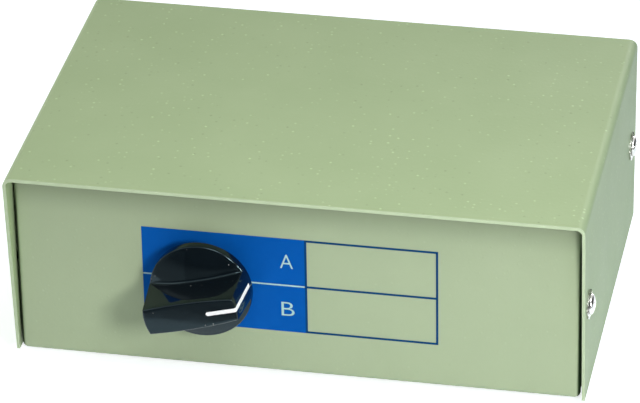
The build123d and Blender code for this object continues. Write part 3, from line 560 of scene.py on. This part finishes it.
def select_faces(piece, test):
    """In edit mode, select only the faces whose centre passes the test."""
    bpy.ops.mesh.select_mode(type="FACE")
    bpy.ops.mesh.select_all(action="DESELECT")
    bpy.ops.object.mode_set(mode="OBJECT")
    for face in piece.data.polygons:
        face.select = test(face.center)
    bpy.ops.object.mode_set(mode="EDIT")


def add_slab(low, high):
    """A cube stretched between two corners, with its place in its mesh."""
    low, high = Vector(low), Vector(high)
    bpy.ops.mesh.primitive_cube_add(size=1, location=(low + high) / 2, scale=high - low)
    slab = bpy.context.active_object
    settle(slab)
    return slab


def cut(piece, tool):
    """Cut a tool out of a piece and throw the tool away."""
    activate(piece)
    cutter = piece.modifiers.new("cut", "BOOLEAN")
    cutter.operation = "DIFFERENCE"
    cutter.solver = "EXACT"
    cutter.object = tool
    bpy.ops.object.modifier_apply(modifier=cutter.name)
    bpy.data.objects.remove(tool)


# %% [markdown]
# ## Printed legend
# The front panel is screen printed before assembly: white first, then a solid blue field behind
# the knob with the letters A and B left open in it, and two empty boxes for the user's own labels.
# Ink lies on the paint as a film of a few hundredths of a millimetre. It could be a texture, but a
# real film has edges that catch light, so it is cut from thin slabs here.

# %% Legend inks
def make_ink(name, colour, darker):
    """Screen ink: a satin film whose tone drifts, with the faint weave of the screen."""
    ink, tree, shader, place = start_material(name, colour, 0.4, specular=0.02)
    feed(tree, shader, drift_tone(tree, place, 0.012, colour, darker))
    add_grain(tree, shader, place, 0.0003, 0.00001)
    return ink


blue_ink = make_ink("legend_blue_ink", (0.003, 0.105, 0.44), (0.002, 0.09, 0.39))
line_ink = make_ink("legend_line_ink", (0.006, 0.06, 0.18), (0.005, 0.05, 0.15))
white_ink = make_ink("legend_white_ink", (0.46, 0.70, 0.64), (0.42, 0.65, 0.60))

# %% [markdown]
# The blue field is a thin slab. The middle rule and the two letters are cut from it with Boolean
# modifiers: text is made solid, turned into a mesh, stood up and used as the tool. The letters
# could be laid on top in white instead, but the printer leaves them open, as here.

# %% Blue field
ink_front = panel_y - 0.05 * MM
ink_back = panel_y + 0.03 * MM
legend_left, legend_split, legend_right = -40.2 * MM, 2.33 * MM, 36.96 * MM
legend_top, legend_low = 43.53 * MM, 15.70 * MM
rule_z = 29.57 * MM  # the rule between the two positions
rule, open_rule = 0.6 * MM, 0.45 * MM  # width of the printed rules, and of the one left open

field = add_slab((legend_left, ink_front, legend_low), (legend_split, ink_back, legend_top))
cut(
    field,
    add_slab(
        (legend_left - rule, ink_front - MM, rule_z - open_rule / 2),
        (legend_split + rule, ink_back + MM, rule_z + open_rule / 2),
    ),
)


stroke_trim = -0.007  # thins the font's strokes, in shares of the letter's size
letter_width, letter_height = 3.4 * MM, 4.1 * MM


def letter_tool(letter, x, z):
    """The letter as a solid that stands across the panel, centred on (x, z)."""
    bpy.ops.object.text_add()
    words = bpy.context.active_object
    words.data.body = letter
    words.data.extrude = 0.5
    words.data.offset = stroke_trim
    bpy.ops.object.convert(target="MESH")
    solid = bpy.context.active_object
    low = Vector(map(min, zip(*(v.co for v in solid.data.vertices))))
    high = Vector(map(max, zip(*(v.co for v in solid.data.vertices))))
    solid.data.transform(Matrix.Translation(-(low + high) / 2))
    solid.scale = (letter_width / (high.x - low.x), letter_height / (high.y - low.y), MM)
    solid.rotation_euler = (radians(90), 0, 0)
    solid.location = (x, panel_y, z)
    settle(solid)
    return solid


letter_places = {"A": (-2.37, 36.73), "B": (-2.21, 22.51)}  # across and up, in millimetres
for letter, (x, z) in letter_places.items():
    cut(field, letter_tool(letter, x * MM, z * MM))
finish_piece(field, "legend_blue_field", "box", blue_ink)

# %% [markdown]
# The white underprint lies on the paint and shows only through the letters and the open rule. It
# is one thin slab, a little smaller than the blue all round, so that no white rim shows beside it.

# %% White underprint
margin, white_front = 0.25 * MM, panel_y - 0.02 * MM
underprint = add_slab(
    (legend_left + margin, white_front, legend_low + margin),
    (legend_split - margin, ink_back, legend_top - margin),
)
finish_piece(underprint, "legend_white_underprint", "box", white_ink)

# %% [markdown]
# The two empty boxes are one plane, split at the middle rule, inset twice and hollowed: the first
# inset draws the outer rule, the second gives each box its own share of the middle one. Four thin
# slabs could be joined instead, but their corners would overlap.

# %% Boxes for the user's own labels
bpy.ops.mesh.primitive_plane_add(size=1)
boxes = bpy.context.active_object
boxes.rotation_euler = (radians(90), 0, 0)
boxes.scale = (legend_right - legend_split, legend_top - legend_low, 1)
boxes.location = ((legend_right + legend_split) / 2, ink_front, (legend_top + legend_low) / 2)
settle(boxes)
bpy.ops.object.mode_set(mode="EDIT")
bpy.ops.mesh.select_all(action="SELECT")
bpy.ops.mesh.inset(thickness=rule / 2)
bpy.ops.mesh.bisect(plane_co=(0, 0, rule_z), plane_no=(0, 0, 1))
inside_left, inside_right = legend_split + rule, legend_right - rule
near_rule = 12 * MM  # less than the outer rules' distance from the middle one
select_faces(boxes, lambda c: inside_left < c.x < inside_right and abs(c.z - rule_z) < near_rule)
bpy.ops.mesh.inset(thickness=rule / 2, use_individual=True)
bpy.ops.mesh.delete(type="FACE")
bpy.ops.mesh.select_all(action="SELECT")
bpy.ops.mesh.extrude_region_move(TRANSFORM_OT_translate={"value": (0, ink_back - ink_front, 0)})
bpy.ops.mesh.select_all(action="SELECT")
bpy.ops.mesh.normals_make_consistent(inside=False)
bpy.ops.object.mode_set(mode="OBJECT")
finish_piece(boxes, "legend_label_boxes", "box", line_ink)

# %% [markdown]
# ## Knob
# The real knob is one moulding: a disc with a domed front and a tapered grip across it, whose ends
# run out in the disc's rim. What the eye reads on black plastic is the thin light along its rounded
# edges and along the fillet where the grip meets the dome. A Boolean union has no such fillet, and
# a bevel over the union's uneven little edges tears. So the knob is laid out as clean strips of
# quads: one grid primitive for each face and each round, merged into one skin. It is laid out in
# millimetres and scaled at the end.

# %% Knob measures, in millimetres
knob_length = 14.8  # from its back, which stands a little off the panel, to its front face
rim_radius, rim_height, rim_round = 13.3, 2.6, 0.5  # the disc's
end_radius, dome_rise = 12.4, 2.6  # of the grip's ends at the front, and of the disc's dome
edge_round, junction_round, junction_fade = 0.5, 0.7, 1.5
back_halves, back_height = (4.5, 4.8, 4.05), 1.3  # half widths at the tail, middle and nose
front_halves = (3.4, 3.87, 2.8)  # the same three at the front face
outline_reach = 13.65  # from the axis to where the tail's and the nose's half widths hold
rim_line = rim_height - rim_round
wall_top = knob_length - edge_round
inner_radius = rim_radius - rim_round
dome_share = 0.75  # of the steps from the junction to the rim; the rest turn round the rim


def grip_half(u, h):
    """Half width of the grip at u along the pointer and h above the knob's back."""
    share = u / outline_reach
    low, high = (
        middle + (nose - tail) / 2 * share + ((nose + tail) / 2 - middle) * share**2
        for tail, middle, nose in (back_halves, front_halves)
    )
    return low + (high - low) * (h - back_height) / (knob_length - back_height)


def blank_radius(h):
    """Radius of the round blank that the grip's ends run out in."""
    above_rim = max(0, h - rim_height) / (knob_length - rim_height)
    return rim_radius + (end_radius - rim_radius) * above_rim


def dome_height(r):
    """Height of the disc's front at r from the axis, with the round at its rim."""
    if r <= inner_radius:
        return rim_height + dome_rise * (1 - (r / inner_radius) ** 2)
    return rim_line + (rim_round**2 - min(r - inner_radius, rim_round) ** 2) ** 0.5


def grip_point(t, share, h, inset=0.0):
    """Point of the grip at height h: t across it, -1 to 1, and a share along it from the tail."""
    ends = []
    for side in (-1, 1):
        u = side * end_radius
        for _ in range(12):  # u and v depend on each other, so they are worked out by turns
            v = t * (grip_half(u, h) - inset)
            u = side * ((blank_radius(h) - inset) ** 2 - v**2) ** 0.5
        ends.append(u)
    u = ends[0] + (ends[1] - ends[0]) * share
    return Vector((u, t * (grip_half(u, h) - inset), h))


# %% The knob's rounds
def rounded(first, corner, last, turn):
    """Point of a smooth round from first to last that leans into the corner."""
    return first * (1 - turn) ** 2 + corner * 2 * turn * (1 - turn) + last * turn**2


def front_round(t, share, turn):
    """Round between the front face and the grip's side or end."""
    inner = grip_point(t, share, knob_length, edge_round)
    return rounded(inner, grip_point(t, share, knob_length), grip_point(t, share, wall_top), turn)


def junction(side, share):
    """The grip's side where the round begins, where it meets the disc, and where the round ends."""
    h = rim_height
    for _ in range(20):  # closes in on the height where the side and the dome meet
        corner = grip_point(side, share, h)
        h = dome_height(corner.xy.length)
    corner.z = h
    size = junction_round * min(1, (rim_radius - corner.xy.length) / junction_fade)
    out = Vector((corner.x, corner.y + side * size, 0))
    out.z = dome_height(out.length)
    return grip_point(side, share, h + size), corner, out


def side_wall(side, share, rise):
    """Point of the grip's side at a share of the way up from the junction's round."""
    low = junction(side, share)[0].z
    return grip_point(side, share, low + (wall_top - low) * rise)


def disc_front(side, share, step):
    """Point of the disc's front on a line across the grip, from the junction to the rim."""
    start = junction(side, share)[2]
    first = start.xy.length
    if first < inner_radius and step < dome_share:
        r = first + (inner_radius - first) * step / dome_share
        h = dome_height(r)
    else:
        from_turn = asin(min(1, max(0, (first - inner_radius) / rim_round)))
        share_left = step if from_turn else (step - dome_share) / (1 - dome_share)
        turn = from_turn + (pi / 2 - from_turn) * share_left
        r, h = inner_radius + rim_round * sin(turn), rim_line + rim_round * cos(turn)
    return Vector((start.x, side * max(0, r**2 - start.x**2) ** 0.5, h))


# %% Lay out the knob's strips
def shares(count):
    """Even steps from 0 to 1."""
    return [step / count for step in range(count + 1)]


def shaped_grid(columns, rows, place):
    """A grid primitive whose corner in each column and row is moved to place(column, row)."""
    bpy.ops.mesh.primitive_grid_add(
        x_subdivisions=len(columns) - 1, y_subdivisions=len(rows) - 1, size=1
    )
    strip = bpy.context.active_object
    for corner in strip.data.vertices:
        column = columns[round((corner.co.x + 0.5) * (len(columns) - 1))]
        row = rows[round((corner.co.y + 0.5) * (len(rows) - 1))]
        corner.co = place(column, row)
    return strip


along = [(1 - cos(pi * share)) / 2 for share in shares(60)]  # closer together at both ends
across = [2 * share - 1 for share in shares(16)]
rim_rise = (rim_height - rim_line) / (wall_top - rim_line)
rises = [0, rim_rise] + [rim_rise + (1 - rim_rise) * share for share in shares(6)[1:]]
strips = [
    shaped_grid(across, along, lambda t, share: grip_point(t, share, knob_length, edge_round))
]
for side in (-1, 1):
    strips += [
        shaped_grid(shares(5), along, lambda turn, share: front_round(side, share, turn)),
        shaped_grid(rises, along, lambda rise, share: side_wall(side, share, rise)),
        shaped_grid(shares(5), along, lambda turn, share: rounded(*junction(side, share), turn)),
        shaped_grid(shares(16), along, lambda step, share: disc_front(side, share, step)),
    ]
for end in (0, 1):
    strips += [
        shaped_grid(across, shares(5), lambda t, turn: front_round(t, end, turn)),
        shaped_grid(
            across,
            rises,
            lambda t, rise: grip_point(t, end, rim_line + (wall_top - rim_line) * rise),
        ),
    ]
print(len(strips), "strips")


# %% [markdown]
# The strips share their border corners, so joining and merging closes them into one skin that is
# open only at the rim. The back is drawn from that rim, one extrusion for each step: the wall, the
# hollow that keeps the moulding thin, the boss round the shaft and the bore for the brass insert.

# %% Merge the strips and draw the back
def join(pieces):
    """Join several objects into the first."""
    bpy.ops.object.select_all(action="DESELECT")
    for piece in pieces:
        piece.select_set(True)
    bpy.context.view_layer.objects.active = pieces[0]
    bpy.ops.object.join()
    return pieces[0]


knob = join(strips)
bpy.ops.object.mode_set(mode="EDIT")
bpy.ops.mesh.select_mode(type="EDGE")
bpy.ops.mesh.select_all(action="SELECT")
bpy.ops.mesh.remove_doubles(threshold=0.001)
bpy.ops.mesh.normals_make_consistent(inside=False)
bpy.ops.mesh.select_all(action="DESELECT")
bpy.ops.mesh.select_non_manifold(use_non_contiguous=False, use_multi_face=False, use_verts=False)
radius, height = rim_radius, rim_line
# The radius and height that each step ends at: the wall and its foot, hollow, boss and bore.
back_steps = (
    (13.3, 0.3), (13.0, 0), (12.1, 0), (12.1, 1.4), (6.4, 1.4), (6.4, 0), (3.9, 0), (3.9, 7.0)
)
for next_radius, next_height in back_steps:
    bpy.ops.mesh.extrude_region_move(
        TRANSFORM_OT_translate={"value": (0, 0, next_height - height)}
    )
    factor = next_radius / radius
    bpy.ops.transform.resize(value=(factor, factor, 1), center_override=(0, 0, 0))
    radius, height = next_radius, next_height
bpy.ops.mesh.edge_face_add()
bpy.ops.mesh.select_all(action="SELECT")
bpy.ops.mesh.normals_make_consistent(inside=False)
bpy.ops.object.mode_set(mode="OBJECT")
print("knob skin", len(knob.data.polygons), "faces")

# %% [markdown]
# The groove for the white line and the way in for the set screw are cut last, with slabs and
# cylinders as tools. The CAD node of the line lies in that groove and stays.

# %% Cut the groove and the set screw's way in
groove_half, groove_start, groove_depth = 0.55, 4.3, 0.35
groove_floor = knob_length - groove_depth
past_knob = (14, groove_half, 16)  # a corner beyond the nose and the front face
cut(knob, add_slab((groove_start + groove_half, -groove_half, groove_floor), past_knob))
nose = add_slab((end_radius - groove_depth, -groove_half, rim_height), past_knob)
for corner in nose.data.vertices:
    if corner.co.x < rim_radius:
        depth = (groove_floor - corner.co.z) / (groove_floor - rim_height)
        corner.co.x += (rim_radius - end_radius) * depth
cut(knob, nose)
bpy.ops.mesh.primitive_cylinder_add(
    vertices=24, radius=groove_half, depth=3,
    location=(groove_start + groove_half, 0, groove_floor + 1.5),
)
cut(knob, bpy.context.active_object)
screw_hole, screw_height = 1.65, 4.6  # the hole's radius, and its height over the knob's back
outside, inside = -14.5, -3.5  # beyond the rim, and within the bore
bpy.ops.mesh.primitive_cylinder_add(
    vertices=32, radius=screw_hole, depth=inside - outside,
    location=((outside + inside) / 2, 0, screw_height), rotation=(0, radians(90), 0),
)
cut(knob, bpy.context.active_object)

# %% Set the knob on its shaft
back_gap = 4.2 * MM  # between the panel and the knob's back
pointer_angle = radians(15)  # above level, at rest
activate(knob)
bpy.ops.object.shade_smooth_by_angle(angle=radians(28))
pointer = Vector((cos(pointer_angle), 0, sin(pointer_angle)))
knob.matrix_world = (
    Matrix.Translation((axis.x, panel_y - back_gap, axis.z))
    @ Matrix((pointer, (-pointer.z, 0, pointer.x), (0, -1, 0))).transposed().to_4x4()
    @ Matrix.Scale(MM, 4)
)
finish_piece(knob, "knob_moulding", "selector", plastic)
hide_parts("knob")

# %% [markdown]
# ## Cover screws and their toothed washers
# Each screw has a low domed head with a tapered cross in it and a rolled thread, and bites through
# the paint with an external-tooth washer whose teeth are twisted out of flat. Both are rings of
# quads in millimetres, over the cover's face at height 0: the screw from a list of (radius, height)
# points, the washer from its teeth's turns. One of each is made and copied to the four corners.
# A screw's thread could be a true helix, but inside the box rings look the same and stay closed.

# %% Cover screw
def ring_piece(turns, profile, place):
    """A closed skin: a grid over the turns and the profile, moved by place and merged."""
    piece = shaped_grid(turns, profile, place)
    bpy.ops.object.mode_set(mode="EDIT")
    bpy.ops.mesh.select_all(action="SELECT")
    bpy.ops.mesh.remove_doubles(threshold=0.0005)
    bpy.ops.mesh.normals_make_consistent(inside=False)
    bpy.ops.object.mode_set(mode="OBJECT")
    return piece


seat, shank = 0.5, 5.5  # the head's underside over the cover, and the shank's end below it
head_radius, head_rise, head_edge, head_chamfer = 2.7, 1.3, 0.35, 0.1
crest, valley, end_flat, half_pitch, lead_in, crest_count = 1.48, 1.2, 1.1, 0.25, 0.3, 9
thread = [
    (crest if step % 2 else valley, -shank + lead_in + step * half_pitch)
    for step in range(2 * crest_count + 1)
]
head = [(crest, seat), (head_radius - head_chamfer, seat), (head_radius, seat + head_chamfer)]
dome = []
for share in shares(10):
    rise = pi / 2 * (1 - share)
    up = seat + head_edge + (head_rise - head_edge) * cos(rise)
    dome.append((head_radius * sin(rise), up))
screw = ring_piece(
    [2 * pi * share for share in shares(48)],
    [(0, -shank), (end_flat, -shank)] + thread + head + dome,
    lambda turn, point: Vector((point[0] * cos(turn), point[0] * sin(turn), point[1])),
)

# %% Cross in the screw's head
arm, arm_half, cross_floor, past_head, taper = 1.6, 0.36, 0.85, 2.2, 0.55
for turn in (35, 125):  # degrees, the two arms
    arm_tool = add_slab((-arm, -arm_half, cross_floor), (arm, arm_half, past_head))
    for corner in arm_tool.data.vertices:
        if corner.co.z < past_head / 2:
            corner.co.x *= taper
            corner.co.y *= taper
    arm_tool.rotation_euler = (0, 0, radians(turn))
    settle(arm_tool)
    cut(screw, arm_tool)
activate(screw)
bpy.ops.object.shade_smooth_by_angle(angle=radians(30))
print("screw", len(screw.data.polygons), "faces")


# %% Toothed washer
root, tip, bore = 2.75, 3.85, 1.65  # radii
sheet, lift = 0.4, 0.22  # the sheet's thickness, and how far the twist lifts a tooth's corner
tooth_count, tooth_start, tooth_end = 10, 5.6, 30.4
# Round one tooth: the outer edge's turn in degrees, its radius, and the bore's turn.
tooth_steps = (
    (-7.8, root, -8.5), (7.8, root, 7.5), (tooth_start, tip, 8.5), (12, tip, 13), (18, tip, 18),
    (24, tip, 23), (tooth_end, tip, 27),
)
teeth = []
for first in range(0, 360, 360 // tooth_count):
    for outer, reach, inner in tooth_steps:
        share = (outer - tooth_start) / (tooth_end - tooth_start)
        teeth.append((radians(first + outer), reach, radians(first + inner), share))
teeth.append((teeth[0][0] + 2 * pi, root, teeth[0][2] + 2 * pi, 0))


def washer_point(step, side):
    """Point of the washer: side counts round its section from the bore's lower edge."""
    outer, reach, inner, share = step
    z = sheet if side in (2, 3) else 0
    if side not in (1, 2):
        return Vector((bore * cos(inner), bore * sin(inner), z))
    twist = lift * share if reach == tip else 0
    return Vector((reach * cos(outer), reach * sin(outer), z + twist))


washer = ring_piece(teeth, (0, 1, 2, 3, 4), washer_point)
activate(washer)
bpy.ops.object.shade_smooth_by_angle(angle=radians(20))
print("washer", len(washer.data.polygons), "faces")


# %% Copy both to the four corners
def copies_at(pattern, places):
    """Copies of the pattern at each place, joined; the pattern itself is thrown away."""
    made = []
    for place in places:
        activate(pattern)
        bpy.ops.object.duplicate()
        copy = bpy.context.active_object
        copy.matrix_world = place
        settle(copy)
        made.append(copy)
    bpy.data.objects.remove(pattern)
    return join(made)


low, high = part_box("cover_screw_washers")
corners = [
    Matrix.Translation((side * case_high.x, y, (low.z + high.z) / 2))
    @ Matrix(((0, side, 0), (0, 0, 1), (side, 0, 0))).transposed().to_4x4()
    @ Matrix.Scale(MM, 4)
    for side in (-1, 1)
    for y in (low.y + tip * MM, high.y - tip * MM)
]
for pattern, name, node in (
    (screw, "cover_screws_threaded", "cover_screws"),
    (washer, "cover_washers_toothed", "cover_screw_washers"),
):
    pieces = copies_at(pattern, corners)
    finish_piece(pieces, name, "box", finishes[slots[node]])
    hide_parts(node)

# %% [markdown]
# ## Floor and surround
# The box stands on a plain pale floor in an even white surround. More light would make the floor
# white too, but it would wash out the box. Instead the floor and the world show the camera, and
# shiny pieces, a brighter level than they give as light, so the floor is white where no shadow
# falls and keeps the box's own shadow.

# %% Helper for what the camera and shiny pieces see of the backdrop
def backdrop_level(tree, hidden, seen):
    """A level that is hidden for soft light, and seen for camera, glossy and transmission rays."""
    light_path = add_node(tree, "ShaderNodeLightPath")
    either = add_node(tree, "ShaderNodeMath", operation="MAXIMUM")
    any_of = add_node(tree, "ShaderNodeMath", operation="MAXIMUM")
    level = add_node(tree, "ShaderNodeMapRange")
    set_range(level, "To", hidden, seen)
    wire(
        tree,
        (light_path.outputs["Is Camera Ray"], either.inputs[0]),
        (light_path.outputs["Is Glossy Ray"], either.inputs[1]),
        (either.outputs[0], any_of.inputs[0]),
        (light_path.outputs["Is Transmission Ray"], any_of.inputs[1]),
        (any_of.outputs[0], level.inputs["Value"]),
    )
    return level.outputs["Result"]


# %% Floor
bpy.ops.mesh.primitive_plane_add(size=16)
floor = bpy.context.active_object
floor.name = "floor"
ground, tree, shader, place = start_material("floor_pale", (0.80, 0.85, 0.90), 0.9, specular=0.1)
shader.inputs["Emission Color"].default_value = (1, 1, 1, 1)
floor_level = backdrop_level(tree, hidden=0.0, seen=0.66)
tree.links.new(floor_level, shader.inputs["Emission Strength"])
floor.data.materials.append(ground)

# %% World
world = bpy.data.worlds.new("studio")
bpy.context.scene.world = world
world.use_nodes = True
tree = world.node_tree
sky = tree.nodes["Background"]
sky.inputs["Color"].default_value = (1, 1, 1, 1)
tree.links.new(backdrop_level(tree, hidden=0.25, seen=1.0), sky.inputs["Strength"])

# %% [markdown]
# ## Cards
# Polished metal and glossy black plastic show what stands round them, and in an all-white surround
# they lose their shape. A product studio puts grey and black cards just out of view. These three
# show in reflections only, so they neither shade the box nor get into the picture: a pale one
# across the front, a darker one before its right half, and a black one along the right side.

# %% Cards
def add_card(name, shade, near, far, top):
    """Two faces: one on the floor, from the near edge to the far one, and one that stands there."""
    bpy.ops.mesh.primitive_grid_add(x_subdivisions=1, y_subdivisions=2, size=1)
    card = bpy.context.active_object
    card.name = name
    rows = (near, far, [(x, y, top) for x, y, z in far])
    for corner in card.data.vertices:
        corner.co = rows[round((corner.co.y + 0.5) * 2)][round(corner.co.x + 0.5)]
    for kind in ("camera", "diffuse", "shadow"):
        setattr(card, "visible_" + kind, False)
    paper, tree, shader, place = start_material(name + "_paper", (shade, shade, shade), 0.9)
    card.data.materials.append(paper)
    print(name, "of shade", shade)


add_card(
    "pale_card", 0.55, [(-2.5, -0.105, 0.001), (2.5, -0.105, 0.001)],
    [(-2.5, -1.8, 0.001), (2.5, -1.8, 0.001)], 1.6,
)
add_card(
    "dark_card", 0.3, [(-0.05, -0.108, 0.002), (0.35, -0.108, 0.002)],
    [(-0.58, -1.3, 0.002), (0.9, -1.3, 0.002)], 1.2,
)
add_card(
    "side_card", 0.05, [(0.16, -0.1, 0.001), (0.16, 1.0, 0.001)],
    [(1.2, -0.5, 0.001), (1.2, 1.5, 0.001)], 0.9,
)

# %% [markdown]
# ## Lamps
# Small square lamps close to the box give its shadows a soft but readable edge. The key lamp comes
# from the right and in front, the top lamp from above, and a faint one fills the left. A cool one
# gives the right side its bluer tone, and another only draws the light along the knob's rim. Two
# low ones behind and to the left light the sides that face away, without reaching the top.

# %% Lamps
box_middle = Vector((0, 0, 0.03))


def add_lamp(name, turn, rise, distance, size, power, colour=(1, 1, 1)):
    """A square lamp aimed at the box: degrees to the right and up, metres away and wide, watts."""
    turn, rise = radians(turn), radians(rise)
    direction = Vector((sin(turn) * cos(rise), -cos(turn) * cos(rise), sin(rise)))
    bpy.ops.object.light_add(type="AREA", location=box_middle + direction * distance)
    lamp = bpy.context.active_object
    lamp.name = name
    lamp.rotation_euler = direction.to_track_quat("Z", "Y").to_euler()
    lamp.data.size = size
    lamp.data.energy = power
    lamp.data.color = colour
    lamp.visible_camera = False
    print(name, power, "W")
    return lamp


add_lamp("key_lamp", 30, 25, 0.5, 0.1, 1.28)
add_lamp("top_lamp", 25, 68, 0.35, 0.15, 0.48)
add_lamp("left_lamp", -80, 40, 0.5, 0.15, 0.1)
side_lamp = add_lamp("side_lamp", 98, 12, 0.8, 0.3, 0.5, (0.05, 0.35, 1.0))
side_lamp.visible_glossy = False  # or the screws would show a blue square
rim_lamp = add_lamp("rim_lamp", 58, 12, 0.5, 0.12, 2.6)
rim_lamp.visible_diffuse = False
add_lamp("rear_lamp", 172, 6, 0.8, 0.15, 3.0)
add_lamp("far_side_lamp", -105, 5, 0.8, 0.15, 2.6)
